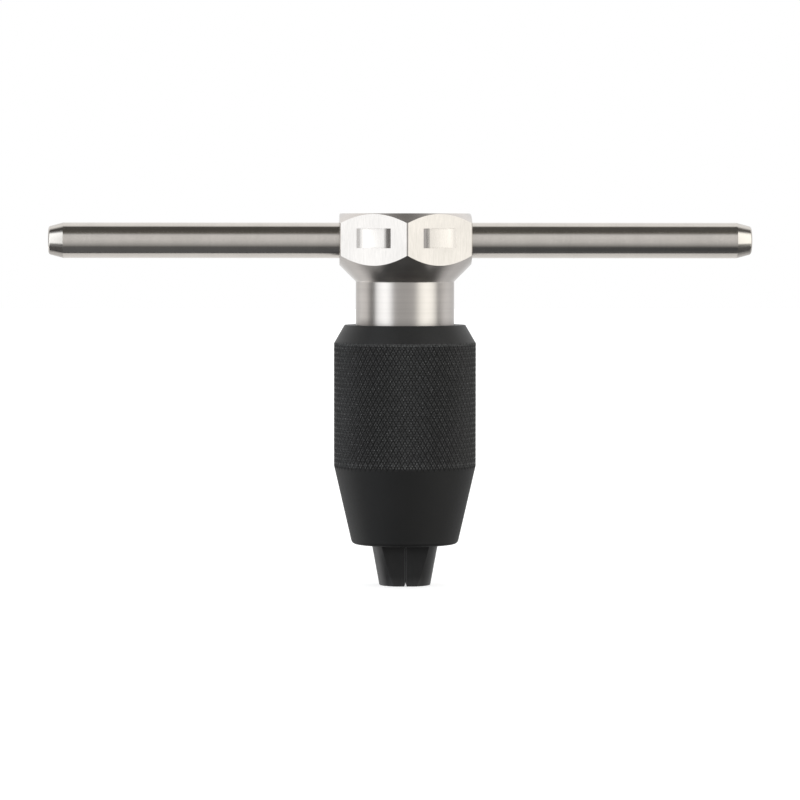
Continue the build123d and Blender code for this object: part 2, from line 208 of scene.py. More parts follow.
class Finishes(bpy.types.PropertyGroup):
    """Colours and gloss of the collet's materials."""
    steel: colour("Turned steel", "Colour of the turned and milled body", (0.49, 0.461, 0.436))
    steel_roughness: share("Neck roughness", "Mean roughness of the neck", 0.36)
    cone_roughness: share("Cone roughness", "Mean roughness of the head's cones and upper face", 0.24)
    # Painted shade: the flats and pockets take the steel colour times these
    flat_painted_shade: share("Flat dullness", "Brightness of the flats against the turned surfaces", 0.87)
    pocket_painted_shade: share(
        "Pocket dullness", "Brightness of the pockets against the turned surfaces", 0.98, highest=2.0
    )
    flat_roughness: share("Flat roughness", "Mean roughness of the head's flats", 0.18)
    pocket_roughness: share("Pocket roughness", "Mean roughness of the head's pockets", 0.28)
    bar: colour("Bar steel", "Colour of the ground bar", (0.586, 0.552, 0.512))
    bar_roughness: share("Bar roughness", "Mean roughness of the bar", 0.17)
    end_roughness: share("Bar end roughness", "Roughness of the bar's tapered ends", 0.24)
    oxide: colour("Black oxide", "Colour of the blackened sleeve", (0.0100, 0.0098, 0.0098))
    # Also the colour of the glints and highlight lines that are painted on the knurl
    oxide_worn_and_glint: colour("Worn oxide", "Colour of the rubbed knurl crests", (0.053, 0.053, 0.053))
    oxide_roughness: share("Oxide roughness", "Mean roughness of the sleeve", 0.46)
    jaw: colour("Jaw black", "Colour of the blackened jaws", (0.0082, 0.0081, 0.0082))
    # The slit's colour: rubbed edges with a painted highlight
    jaw_wear_and_highlight: colour("Worn jaw", "Colour of the jaws' rubbed edges along the slit", (0.036, 0.036, 0.036))
    jaw_roughness: share("Jaw roughness", "Mean roughness of the jaws", 0.34)
    hardened: colour("Hardened steel", "Colour of the pins, ball and plug", (0.42, 0.42, 0.42))
    spring: colour("Spring wire", "Colour of the springs", (0.30, 0.30, 0.31))
    rubber: colour("Rubber", "Colour of the drag ring", (0.022, 0.022, 0.022))


class StageSettings(bpy.types.PropertyGroup):
    """Camera, floor and studio light."""
    lens: bpy.props.FloatProperty(
        name="Lens", description="Focal length on a 36 mm wide sensor", default=180.0, unit="CAMERA"
    )
    distance: length("Camera distance", "Distance from the tool's axis", 0.7744)
    swing: turn("Camera swing", "How far the camera stands towards -X", 1.8)
    height: length("Camera height", "Height of the camera", 0.070)
    aim_x: length("Aim across", "Where the middle of the picture meets the tool's plane", -0.00095)
    aim_z: length("Aim height", "Height at the middle of the picture", 0.03586)
    floor_half: length("Floor half width", "Half the side of the square floor", 2.5)
    floor_colour: colour("Floor", "Colour of the floor", (0.62, 0.62, 0.62))
    floor_glow: share("Floor glow", "Light that the floor adds for the camera", 0.64)
    left_box: colour("Left softbox", "Tint of the softbox on the left", (0.93, 0.968, 1.0))
    right_box: colour("Right softbox", "Tint of the softbox on the right", (0.985, 0.99, 0.955))
    roll: turn("Camera roll", "How far the picture turns clockwise", 0.04)


# Shader graphs

class Graph:
    """Short calls that add nodes to a shader tree and join them."""

    def __init__(self, tree):
        self.tree = tree
        tree.nodes.clear()

    def feed(self, socket, value):
        """Links an output to a socket, or sets the socket's value."""
        if isinstance(value, bpy.types.NodeSocket):
            self.tree.links.new(value, socket)
        else:
            socket.default_value = value

    def node(self, kind, inputs=None, **settings):
        """A new node with its settings and inputs."""
        made = self.tree.nodes.new(kind)
        for name, value in settings.items():
            setattr(made, name, value)
        for name, value in (inputs or {}).items():
            self.feed(made.inputs[name], value)
        return made

    def math(self, operation, *values):
        """A Math node's output."""
        made = self.node("ShaderNodeMath", operation=operation)
        for socket, value in zip(made.inputs, values):
            self.feed(socket, value)
        return made.outputs[0]

    def product(self, *values):
        """The product of several numbers."""
        total = values[0]
        for value in values[1:]:
            total = self.math("MULTIPLY", total, value)
        return total

    def step(self, value, low, high, at_low=0.0, at_high=1.0, kind="SMOOTHSTEP"):
        """at_low below low, at_high above high, and smooth between."""
        made = self.node("ShaderNodeMapRange", interpolation_type=kind, clamp=True)
        for name, given in zip(
            ("Value", "From Min", "From Max", "To Min", "To Max"), (value, low, high, at_low, at_high)
        ):
            self.feed(made.inputs[name], given)
        return made.outputs[0]

    def window(self, value, low, high, soft):
        """1 between low and high, 0 outside, with edges that are soft wide."""
        rise = self.step(value, low - soft / 2, low + soft / 2)
        fall = self.step(value, high - soft / 2, high + soft / 2, 1.0, 0.0)
        return self.product(rise, fall)

    def blend(self, factor, a, b):
        """A number that goes from a to b as factor goes from 0 to 1."""
        made = self.node("ShaderNodeMix", data_type="FLOAT")
        for index, value in ((0, factor), (2, a), (3, b)):
            self.feed(made.inputs[index], value)
        return made.outputs[0]

    def tint(self, factor, a, b):
        """A colour that goes from a to b as factor goes from 0 to 1."""
        made = self.node("ShaderNodeMix", data_type="RGBA")
        for index, value in ((0, factor), (6, a), (7, b)):
            self.feed(made.inputs[index], value)
        return made.outputs[2]

    def split(self, vector):
        """The three coordinates of a vector."""
        return self.node("ShaderNodeSeparateXYZ", {"Vector": vector}).outputs

    def join(self, x, y, z):
        """A vector of three numbers."""
        return self.node("ShaderNodeCombineXYZ", {"X": x, "Y": y, "Z": z}).outputs[0]

    def noise(self, vector, scale, detail=3.0, rough=0.55):
        """Noise from 0 to 1, with a mean near 0.5."""
        made = self.node(
            "ShaderNodeTexNoise", {"Vector": vector, "Scale": scale, "Detail": detail, "Roughness": rough}
        )
        return made.outputs["Fac"]

    def vector(self, operation, first, second):
        """A Vector Math node's output. A number that is linked to it counts for all three coordinates."""
        made = self.node("ShaderNodeVectorMath", operation=operation)
        self.feed(made.inputs[0], first)
        self.feed(made.inputs[1], second)
        return made.outputs[0]

    def times(self, first, second):
        """A vector or colour times a number or another vector."""
        return self.vector("MULTIPLY", first, second)

    def ramp(self, value, stops):
        """Colour and alpha along a value from 0 to 1. Each stop is (place, red, green, blue, alpha)."""
        made = self.node("ShaderNodeValToRGB", {"Fac": value})
        elements = made.color_ramp.elements
        elements[0].color, elements[-1].color = stops[0][1:], stops[-1][1:]
        for place, *rgba in stops[1:-1]:
            elements.new(place).color = rgba
        return made.outputs

    def bump(self, height, strength, distance):
        """A normal that follows a height."""
        made = self.node("ShaderNodeBump", {"Height": height, "Strength": strength, "Distance": distance})
        return made.outputs[0]


def new_material(name):
    """An empty material, its graph, and the object coordinates."""
    material = bpy.data.materials.new(name)
    material.use_nodes = True
    graph = Graph(material.node_tree)
    place = graph.node("ShaderNodeTexCoord").outputs["Object"]
    return material, graph, place


def close_material(graph, **inputs):
    """The Principled shader and the output. Underscores in the names stand for spaces."""
    named = {name.replace("_", " "): value for name, value in inputs.items()}
    shader = graph.node("ShaderNodeBsdfPrincipled", named)
    output = graph.node("ShaderNodeOutputMaterial")
    graph.tree.links.new(shader.outputs[0], output.inputs["Surface"])


def scaled(rgba, amount):
    """A colour times a number."""
    return (*(channel * amount for channel in rgba[:3]), 1.0)


def radius_about_z(graph, place):
    """Distance from the tool's axis."""
    x, y, _ = graph.split(place)
    return graph.math("SQRT", graph.math("ADD", graph.product(x, x), graph.product(y, y)))


def head_zones(graph, place, radius, sizes):
    """Three masks: the flats and all that is cut into them, the pockets and holes alone, and the whole head.

    A point of the head that is inside both of its cones and under its upper face is on a flat, in a pocket
    or in a hole. In a pocket or hole it is also inside the hexagon.
    """
    x, y, z = graph.split(place)
    under_cone = graph.math("SUBTRACT", z, sizes.neck_top_z)
    under_cone = graph.math("MULTIPLY_ADD", under_cone, 1 / math.tan(sizes.under_angle), sizes.neck_radius)
    top_cone = graph.math("SUBTRACT", sizes.top_z, z)
    top_cone = graph.math("MULTIPLY_ADD", top_cone, 1 / math.tan(sizes.top_angle), sizes.top_radius)
    inside = graph.math("SUBTRACT", graph.math("MINIMUM", under_cone, top_cone), radius)
    below_top = graph.step(z, sizes.top_z - 0.02 * MM, sizes.top_z, 1.0, 0.0)
    on_flat = graph.product(graph.step(inside, 0.02 * MM, 0.05 * MM), below_top)
    half_x = graph.product(x, 0.5)
    slant_y = graph.product(y, math.sqrt(3) / 2)
    across = graph.math("ABSOLUTE", x)
    for operation in ("ADD", "SUBTRACT"):
        slanted = graph.math(operation, half_x, slant_y)
        across = graph.math("MAXIMUM", across, graph.math("ABSOLUTE", slanted))
    flat = sizes.across_flats / 2
    in_pocket = graph.step(across, flat - 0.03 * MM, flat - 0.01 * MM, 1.0, 0.0)
    on_head = graph.step(z, sizes.neck_top_z - 0.05 * MM, sizes.neck_top_z + 0.05 * MM)
    return on_flat, in_pocket, on_head


def turned_steel(finish, sizes):
    """Bright steel: rings from the lathe on everything round, and fine milled lines up the hexagon's flats.

    The neck is the roughest, and the flats and pockets are the smoothest, with a darker colour as painted
    shade.
    """
    material, graph, place = new_material("turned_steel")
    radius = radius_about_z(graph, place)
    on_flat, in_pocket, on_head = head_zones(graph, place, radius, sizes)
    ring_place = graph.join(radius, 0.0, graph.split(place)[2])
    rings = graph.blend(0.5, graph.noise(ring_place, 2600.0, rough=0.6), graph.noise(ring_place, 620.0))
    milled = graph.noise(graph.times(place, (1.0, 1.0, 0.12)), 4200.0)
    cloud = graph.noise(place, 160.0)
    marks = graph.blend(on_flat, rings, milled)
    shade = graph.blend(graph.blend(on_flat, 0.2, 0.5), marks, cloud)
    # Painted shade: a darker copy of the steel colour on the flats and pockets
    painted_flat_shade = graph.blend(on_flat, 1.0, graph.blend(in_pocket, finish.flat_painted_shade, finish.pocket_painted_shade))
    base = graph.times(tuple(finish.steel[:3]), graph.step(shade, 0.3, 0.7, 0.90, 1.10, kind="LINEAR"))
    base = graph.times(base, painted_flat_shade)
    flat = graph.blend(in_pocket, finish.flat_roughness, finish.pocket_roughness)
    smooth = graph.blend(on_flat, finish.cone_roughness, flat)
    mean = graph.blend(on_head, finish.steel_roughness, smooth)
    rough = graph.math("ADD", mean, graph.step(marks, 0.25, 0.75, -0.03, 0.03, kind="LINEAR"))
    tangent = graph.node("ShaderNodeTangent", direction_type="RADIAL", axis="Z").outputs[0]
    close_material(
        graph,
        Base_Color=base,
        Metallic=1.0,
        Roughness=rough,
        Anisotropic=0.8,
        Anisotropic_Rotation=0.25,
        Tangent=tangent,
        Normal=graph.bump(marks, strength=graph.blend(in_pocket, 0.35, 0.04), distance=0.004 * MM),
    )
    return material


def ground_bar_steel(finish, sizes):
    """Centreless ground steel: fine lines round the bar, faint streaks along it, and ends with a finer
    polish, painted darker as shade.
    """
    material, graph, place = new_material("ground_bar_steel")
    x = graph.split(place)[0]
    lines = graph.noise(graph.times(place, (10.0, 1.0, 1.0)), 420.0)
    streaks = graph.noise(graph.times(place, (1.0, 22.0, 22.0)), 90.0)
    cloud = graph.noise(place, 240.0)
    marks = graph.blend(0.5, lines, streaks)
    from_middle = graph.math("ABSOLUTE", graph.math("SUBTRACT", x, sizes.shift))
    taper_start = sizes.length / 2 - sizes.taper
    polished_and_shaded = graph.step(from_middle, taper_start - 0.1 * MM, taper_start + 0.1 * MM)
    shade = graph.blend(0.4, graph.blend(0.5, marks, graph.noise(place, 3600.0, detail=2.0)), cloud)
    body_tint = graph.tint(
        graph.step(shade, 0.3, 0.7, kind="LINEAR"), scaled(finish.bar, 0.90), scaled(finish.bar, 1.09)
    )
    # Painted shade: a darker colour on the ends; their lower roughness is the real polish
    base = graph.tint(polished_and_shaded, body_tint, scaled(finish.bar, 0.82))
    plain = graph.step(
        marks, 0.25, 0.75, finish.bar_roughness - 0.03, finish.bar_roughness + 0.03, kind="LINEAR"
    )
    tangent = graph.node("ShaderNodeTangent", direction_type="RADIAL", axis="X").outputs[0]
    close_material(
        graph,
        Base_Color=base,
        Metallic=1.0,
        Roughness=graph.blend(polished_and_shaded, plain, finish.end_roughness),
        Anisotropic=0.7,
        Anisotropic_Rotation=0.25,
        Tangent=tangent,
        Normal=graph.bump(marks, strength=0.25, distance=0.003 * MM),
    )
    return material


def oxide_wear_and_glints(graph, z, radius, crest, patches, place, sizes):
    """How pale the knurl is: its crests rubbed in patches, its foot most, with glints painted on the crest
    tips, and its top edge, rubbed and painted as a highlight line.
    """
    crests = graph.product(graph.step(crest, 0.6, 1.0), graph.step(patches, 0.3, 0.75))
    # The top edge: rubbed, and painted as a highlight line too
    edge = graph.product(
        graph.window(z, sizes.shoulder_z - 0.3 * MM, sizes.shoulder_z + 0.16 * MM, 0.1 * MM),
        graph.step(graph.noise(place, 2400.0, detail=1.0), 0.35, 0.6, 0.35, 1.0),
        graph.step(radius, sizes.crest_radius - 0.4 * MM, sizes.crest_radius - 0.3 * MM),
    )
    # The foot: glints painted on the crest tips, in patches
    foot = graph.product(
        graph.window(z, sizes.cone_top_z - 0.1 * MM, sizes.cone_top_z + 1.0 * MM, 0.4 * MM),
        graph.step(patches, 0.35, 0.6),
        graph.step(crest, 0.5, 0.8),
    )
    most = graph.math("MAXIMUM", graph.math("MAXIMUM", crests, foot), edge)
    return graph.product(most, 0.8)


def oxide_painted_light_and_shade(graph, z, crest, sizes):
    """Painted light and shade in the black by height, and painted shade in the knurl's grooves.

    It is nearly black under the lower edge, dark on the taper, paler on the knurl and palest on the chamfer.
    """
    # Painted shade and light by height: darkest under the lower edge, palest on the chamfer
    lower = sizes.bottom_z + 0.8 * MM
    painted_low_edge_shade = graph.step(z, sizes.bottom_z + 0.2 * MM, lower, 0.03, 0.9)
    taper = graph.step(z, lower, sizes.bottom_z + 1.6 * MM, 1.0, 0.86)
    knurl = graph.step(z, sizes.cone_top_z - 0.2 * MM, sizes.cone_top_z + 0.2 * MM, 0.0, 0.44)
    chamfer = graph.step(z, sizes.shoulder_z, sizes.shoulder_z + 0.2 * MM, 0.0, 0.57)
    tone = graph.math("ADD", graph.product(painted_low_edge_shade, taper), graph.math("ADD", knurl, chamfer))
    # Painted shade in the knurl's grooves
    return graph.product(tone, graph.step(crest, 0.0, 0.45, 0.45, 1.0))


def black_oxide(finish, sizes):
    """Blackened steel with a satin grain, rubbed paler on the knurl's crests, as the crest attribute says.

    Single bright glints are strewn over the crests, and the taper below the knurl is a little rougher. Its
    colour also holds painted light and shade by height, and painted shade in the knurl's grooves.
    """
    material, graph, place = new_material("black_oxide_knurl")
    z = graph.split(place)[2]
    radius = radius_about_z(graph, place)
    crest = graph.node("ShaderNodeAttribute", attribute_name="crest").outputs["Fac"]
    patches = graph.noise(place, 900.0, rough=0.65)
    grain = graph.noise(place, 3600.0)
    cloud = graph.noise(place, 120.0)
    worn_and_glints = oxide_wear_and_glints(graph, z, radius, crest, patches, place, sizes)
    glint = graph.product(
        graph.step(graph.noise(place, 5200.0, detail=1.0), 0.60, 0.74),
        graph.step(crest, 0.6, 0.8),
    )
    mottle = graph.step(graph.blend(0.5, cloud, grain), 0.35, 0.65, 0.85, 1.18, kind="LINEAR")
    tone = oxide_painted_light_and_shade(graph, z, crest, sizes)
    plain = graph.times(tuple(finish.oxide[:3]), graph.product(mottle, tone))
    base = graph.tint(worn_and_glints, plain, tuple(finish.oxide_worn_and_glint))
    base = graph.tint(glint, base, scaled(finish.oxide_worn_and_glint, 2.5))
    rough = graph.step(
        grain, 0.3, 0.7, finish.oxide_roughness - 0.04, finish.oxide_roughness + 0.05, kind="LINEAR"
    )
    rough = graph.math("ADD", rough, graph.step(z, sizes.cone_top_z - 0.2 * MM, sizes.cone_top_z, 0.12, 0.0))
    close_material(
        graph,
        Base_Color=base,
        Metallic=0.0,
        Roughness=graph.blend(worn_and_glints, rough, finish.oxide_roughness - 0.10),
        Specular_IOR_Level=0.22,
        Normal=graph.bump(grain, strength=0.3, distance=0.012 * MM),
    )
    return material


def black_jaw(finish, sizes):
    """Blackened ground steel with fine grinding lines along the jaws.

    The jaws are paler towards the tips, and along the slit, where the edges are rubbed and carry a painted
    highlight. Where they go into the sleeve they are darkest, with its shadow painted on them.
    """
    material, graph, place = new_material("black_jaw_steel")
    x, _, z = graph.split(place)
    lines = graph.noise(graph.times(place, (9.0, 9.0, 1.0)), 420.0)
    cloud = graph.noise(place, 260.0)
    mottle = graph.step(graph.blend(0.5, lines, cloud), 0.35, 0.65, 0.8, 1.25, kind="LINEAR")
    # Painted shadow of the sleeve on the jaws' upper part
    painted_sleeve_shadow = graph.step(z, sizes.bottom_z - 2.2 * MM, sizes.bottom_z - 0.2 * MM, 1.0, 0.15)
    tip = graph.step(z, 0.2 * MM, 2.1 * MM, 2.4, 1.0)
    plain = graph.times(tuple(finish.jaw[:3]), graph.product(mottle, painted_sleeve_shadow, tip))
    # The slit: rubbed edges, with a painted highlight
    rubbed = graph.step(graph.math("ABSOLUTE", x), 0.14 * MM, 0.24 * MM, 0.8, 0.0)
    base = graph.tint(rubbed, plain, tuple(finish.jaw_wear_and_highlight))
    rough = graph.step(
        lines, 0.3, 0.7, finish.jaw_roughness - 0.04, finish.jaw_roughness + 0.04, kind="LINEAR"
    )
    close_material(
        graph,
        Base_Color=base,
        Metallic=0.0,
        Roughness=rough,
        Specular_IOR_Level=0.2,
        Normal=graph.bump(lines, strength=0.25, distance=0.006 * MM),
    )
    return material


def small_metal(name, tone, roughness, scale):
    """Plain bright or drawn metal for the small pieces inside, with a faint grain."""
    material, graph, place = new_material(name)
    grain = graph.noise(place, scale)
    base = graph.tint(graph.step(grain, 0.3, 0.7, kind="LINEAR"), scaled(tone, 0.88), scaled(tone, 1.1))
    rough = graph.step(grain, 0.3, 0.7, roughness - 0.04, roughness + 0.05, kind="LINEAR")
    close_material(
        graph,
        Base_Color=base,
        Metallic=1.0,
        Roughness=rough,
        Normal=graph.bump(grain, strength=0.2, distance=0.004 * MM),
    )
    return material


def ring_rubber(finish):
    """Black rubber with a faint bloom."""
    material, graph, place = new_material("ring_rubber")
    bloom = graph.noise(place, 700.0)
    base = graph.tint(graph.step(bloom, 0.35, 0.7), scaled(finish.rubber, 0.85), scaled(finish.rubber, 1.4))
    rough = graph.step(bloom, 0.3, 0.7, 0.5, 0.62, kind="LINEAR")
    close_material(
        graph,
        Base_Color=base,
        Metallic=0.0,
        Roughness=rough,
        Specular_IOR_Level=0.35,
        Normal=graph.bump(bloom, strength=0.2, distance=0.01 * MM),
    )
    return material


# Meshes

def build_mesh(name, points, triangles, material, sharp_degrees=30.0):
    """A smooth shaded object from arrays of points and triangles, with edges above an angle kept sharp."""
    mesh = bpy.data.meshes.new(name)
    mesh.vertices.add(len(points))
    mesh.vertices.foreach_set("co", np.ascontiguousarray(points, dtype=np.float32).ravel())
    mesh.loops.add(triangles.size)
    mesh.loops.foreach_set("vertex_index", np.ascontiguousarray(triangles, dtype=np.int32).ravel())
    mesh.polygons.add(len(triangles))
    mesh.polygons.foreach_set("loop_start", np.arange(0, triangles.size, 3, dtype=np.int32))
    mesh.update(calc_edges=True)
    if mesh.validate():
        raise RuntimeError(f"the mesh of {name} isn't valid")
    mesh.shade_smooth()
    mesh.set_sharp_from_angle(angle=math.radians(sharp_degrees))
    mesh.materials.append(material)
    piece = bpy.data.objects.new(name, mesh)
    bpy.context.scene.collection.objects.link(piece)
    return piece


def arc(centre, radius, start, end, steps):
    """Points centre + radius (cos a, sin a), with a in equal steps from start to end."""
    angles = np.linspace(start, end, steps)
    return np.column_stack((centre[0] + radius * np.cos(angles), centre[1] + radius * np.sin(angles)))


def sleeve_section(sizes):
    """Two rows of points (radius, height) of the sleeve's section: the lower outside, and the top and inside.

    The lower outside goes from the mouth along the lower face, round the edge and up to the taper.
    The round's centre is one radius above the lower face and one radius inside the taper.
    """
    slope = math.tan(sizes.cone_angle)
    taper = np.array((sizes.crest_radius - sizes.bottom_radius, sizes.cone_top_z - sizes.bottom_z))
    taper /= np.linalg.norm(taper)
    outward = np.array((taper[1], -taper[0]))
    turn_radius = sizes.bottom_round
    centre = (
        sizes.bottom_radius - turn_radius * (1 + outward[1]) / outward[0],
        sizes.bottom_z + turn_radius,
    )
    edge = arc(centre, turn_radius, -math.pi / 2, math.atan2(outward[1], outward[0]), SLEEVE_EDGE_POINTS)
    mouth_radius = sizes.cone_foot_radius + slope * sizes.bottom_z
    lower = np.vstack(((mouth_radius + sizes.mouth_break, sizes.bottom_z), edge))
    bore = sizes.bore_radius
    ring_low, ring_high = sizes.ring_z - sizes.ring_half, sizes.ring_z + sizes.ring_half
    grooves = sizes.relief_high + sizes.thread_pitch * np.arange(sizes.thread_count, 0, -1)
    half = sizes.thread_half
    thread = np.column_stack(
        (
            np.tile((bore, bore + sizes.thread_depth, bore), len(grooves)),
            (grooves[:, None] + np.array((half, 0.0, -half))).ravel(),
        )
    )
    inside = np.vstack(
        (
            (sizes.top_radius, sizes.top_z),
            (bore + sizes.bore_break, sizes.top_z),
            (bore, sizes.top_z - sizes.bore_break),
            (bore, ring_high),
            (sizes.ring_radius, ring_high),
            (sizes.ring_radius, ring_low),
            (bore, ring_low),
            thread,
            (bore, sizes.relief_high),
            (sizes.relief_radius, sizes.relief_high - (sizes.relief_radius - bore)),
            (sizes.relief_radius, sizes.relief_low),
            (sizes.cone_foot_radius + slope * sizes.relief_low, sizes.relief_low),
            (mouth_radius, sizes.bottom_z + sizes.mouth_break),
        )
    )
    return lower, inside


def knurled_sleeve(sizes, material):
    """The sleeve: a section carried round the axis, with a diamond knurl cut into it.

    Round the sleeve at angle t from the front and height z, with n starts and rise p, the two hands of
    grooves are counted by u = n t / 2 pi + z / p + c and v = n t / 2 pi - z / p + d. A groove runs where u or
    v is whole, with a depth of (1 - a / w) times the full depth, where a is the distance of u or v from the
    nearest whole number and w the groove's half width. A second, shallower groove runs midway between two,
    with (1 - (1/2 - a) / w2) times its own share of the depth. The outside radius is the least of the crest
    radius less the deepest groove, the lower taper and the upper chamfer. Rows and columns are an eighth of
    a start apart and moved so that grooves run through points, and each cell is cut along the hand whose
    groove is deeper there. The crest attribute is 1 on the crests, 0 at the bottom of the grooves and a half
    off the knurl.
    """
    starts, rise, steps = sizes.knurl_starts, sizes.knurl_rise, STEPS_PER_START
    shift_u = (sizes.knurl_right - math.pi) / math.tau
    shift_v = (sizes.knurl_left - math.pi) / math.tau
    columns = starts * steps
    turned = (shift_u + shift_v) / 2
    lifted = (shift_u - shift_v) / 2
    angles = math.tau * (np.arange(columns) / steps - turned) / starts
    slope_low = (sizes.crest_radius - sizes.bottom_radius) / (sizes.cone_top_z - sizes.bottom_z)
    slope_high = (sizes.crest_radius - sizes.top_radius) / (sizes.top_z - sizes.shoulder_z)
    first = math.floor(((sizes.cone_top_z - sizes.knurl_depth / slope_low) / rise + lifted) * steps)
    last = math.ceil(((sizes.shoulder_z + sizes.knurl_depth / slope_high) / rise + lifted) * steps)
    rows = np.arange(first, last + 1)
    heights = (rows / steps - lifted) * rise

    def cut(count):
        """Depth of the grooves of one hand."""
        near = np.abs(count - np.round(count))
        first_groove = np.clip(1 - near / sizes.knurl_half, 0, 1)
        second_groove = sizes.knurl_second * np.clip(1 - (0.5 - near) / sizes.knurl_second_half, 0, 1)
        return sizes.knurl_depth * np.maximum(first_groove, second_groove)

    u = (np.arange(columns)[None, :] + rows[:, None]) / steps
    v = (np.arange(columns)[None, :] - rows[:, None]) / steps
    groove = np.maximum(cut(u), cut(v))
    taper = sizes.bottom_radius + slope_low * (heights - sizes.bottom_z)
    chamfer = sizes.top_radius + slope_high * (sizes.top_z - heights)
    limit = np.minimum(taper, chamfer)[:, None]
    knurl = np.minimum(sizes.crest_radius - groove, limit)

    lower, inside = sleeve_section(sizes)
    flat = np.ones(columns)
    radii = np.vstack((lower[:, :1] * flat, knurl, inside[:, :1] * flat))
    levels = np.concatenate((lower[:, 1], heights, inside[:, 1]))[:, None] * flat
    points = np.stack((radii * np.sin(angles), -radii * np.cos(angles), levels), axis=-1).reshape(-1, 3)

    total = len(radii)
    row = np.repeat(np.arange(total), columns)
    column = np.tile(np.arange(columns), total)
    above, beside = (row + 1) % total, (column + 1) % columns
    near_low, far_low = row * columns + column, row * columns + beside
    near_high, far_high = above * columns + column, above * columns + beside
    number = row - len(lower) + first
    right_hand = cut((column + number + 1) / steps) >= cut((column - number) / steps)
    one = np.where(
        right_hand[:, None],
        np.column_stack((near_low, far_low, near_high)),
        np.column_stack((near_low, far_low, far_high)),
    )
    two = np.where(
        right_hand[:, None],
        np.column_stack((far_low, far_high, near_high)),
        np.column_stack((near_low, far_high, near_high)),
    )
    piece = build_mesh("knurled_sleeve", points, np.vstack((one, two)), material, sharp_degrees=26.0)
    crest = np.full(radii.shape, 0.5)
    crest[len(lower):len(lower) + len(rows)] = np.where(knurl < limit, 1 - groove / sizes.knurl_depth, 0.5)
    piece.data.attributes.new("crest", "FLOAT", "POINT").data.foreach_set(
        "value", crest.ravel().astype(np.float32)
    )
    return piece


def turned_bar(sizes, material):
    """The T-bar: a profile (x, r) carried round the bar's axis, as y = -r sin a and z = height + r cos a.

    From the middle outwards the profile is the full radius, the taper, an arc that meets taper and end face,
    and the end face down to the axis. The left half is the right half turned round.
    """
    reach, radius = sizes.length / 2, sizes.radius
    start = reach - sizes.taper
    face_radius = radius - sizes.taper * math.tan(sizes.taper_angle)
    lean = math.pi / 2 - sizes.taper_angle
    centre_x = reach - sizes.end_round
    centre_r = face_radius - sizes.end_round * (1 - math.cos(lean)) / math.sin(lean)
    edge = arc((centre_x, centre_r), sizes.end_round, lean, 0.0, BAR_EDGE_POINTS)
    middle = np.column_stack((np.linspace(0.0, start, BAR_ROWS + 1)[1:], np.full(BAR_ROWS, radius)))
    half = np.vstack((middle, edge))
    left = half[::-1] * (-1.0, 1.0)
    profile = np.vstack((left, (0.0, radius), half))
    count, around = len(profile), sizes.around
    angles = math.tau * np.arange(around) / around
    x = profile[:, :1] + sizes.shift + 0 * angles
    r = profile[:, 1:]
    shell = np.stack((x, -r * np.sin(angles), sizes.height + r * np.cos(angles)), axis=-1).reshape(-1, 3)
    poles = np.array(
        ((sizes.shift - reach, 0.0, sizes.height), (sizes.shift + reach, 0.0, sizes.height))
    )
    points = np.vstack((shell, poles))
    row = np.repeat(np.arange(count - 1), around)
    column = np.tile(np.arange(around), count - 1)
    beside = (column + 1) % around
    a, b = row * around + column, row * around + beside
    c, d = a + around, b + around
    ring = np.arange(around)
    after = (ring + 1) % around
    left_pole, right_pole = np.full(around, len(shell)), np.full(around, len(shell) + 1)
    last = (count - 1) * around
    triangles = np.vstack(
        (
            np.column_stack((a, c, b)),
            np.column_stack((b, c, d)),
            np.column_stack((left_pole, ring, after)),
            np.column_stack((right_pole, last + after, last + ring)),
        )
    )
    return build_mesh("turned_bar", points, triangles, material, sharp_degrees=14.0)


# Stage

def card_light(graph, azimuth, elevation):
    """1, plus the share of each card of CARDS in the directions where it stands."""
    total = 1.0
    for (left, right, side_blur), (low, high, edge_blur), gain in CARDS:
        there = graph.product(
            graph.window(azimuth, left, right, side_blur),
            graph.window(elevation, low, high, edge_blur),
        )
        total = graph.math("MULTIPLY_ADD", there, gain, total)
    return total


def front_light(graph, x, azimuth, elevation, light, in_box):
    """The half of the studio in front of the tool.

    Away from the softboxes, light takes the share that LIGHT_UP gives, and a little more far down on the
    left. In the softboxes it is full between SOFTBOX_FOOT and SOFTBOX_TOP, and PAST_SOFTBOX beyond them.
    """
    upward = graph.ramp(
        graph.step(elevation, -90.0, 90.0, kind="LINEAR"),
        [
            (0.5 + degrees / 180, *(level * channel for channel in LIGHT_UP_TINTS[kind]), 1.0)
            for degrees, level, kind in LIGHT_UP
        ],
    )[0]
    left_below = graph.product(graph.step(x, *LEFT_BELOW_ACROSS), graph.step(elevation, *LEFT_BELOW_UP))
    upward = graph.vector("ADD", upward, left_below)
    foot = graph.step(graph.math("ABSOLUTE", azimuth), *SOFTBOX_FOOT, kind="LINEAR")
    above_foot = graph.math("SUBTRACT", elevation, foot)
    under_top = graph.math("SUBTRACT", SOFTBOX_TOP, elevation)
    boxed = graph.product(
        graph.step(above_foot, -SOFTBOX_FOOT_BLUR / 2, SOFTBOX_FOOT_BLUR / 2),
        graph.step(under_top, -SOFTBOX_TOP_BLUR / 2, SOFTBOX_TOP_BLUR / 2),
    )
    box = graph.tint(boxed, (PAST_SOFTBOX, PAST_SOFTBOX, PAST_SOFTBOX, 1.0), light)
    return graph.tint(in_box, graph.times(light, upward), box)


def back_light(graph, x, azimuth, elevation, light):
    """The half behind the tool: a backdrop that gets a little brighter upwards and evens out high up.

    Far down it is dark at the sides. The cards stand on it.
    """
    level = graph.step(elevation, *BACKDROP_LEVEL, kind="LINEAR")
    from_middle = graph.math("ABSOLUTE", graph.math("SUBTRACT", x, BACKDROP_MIDDLE))
    aside = graph.step(from_middle, *BACKDROP_SIDES)
    low = graph.blend(aside, 1.0, graph.step(elevation, *BACKDROP_SIDE_FOOT))
    low = graph.product(low, card_light(graph, azimuth, elevation))
    high = graph.step(graph.math("ABSOLUTE", azimuth), *BACKDROP_TOP_LEVEL)
    backdrop = graph.tint(graph.step(elevation, *BACKDROP_TOP), light, graph.join(high, high, high))
    return graph.times(backdrop, graph.product(level, low))


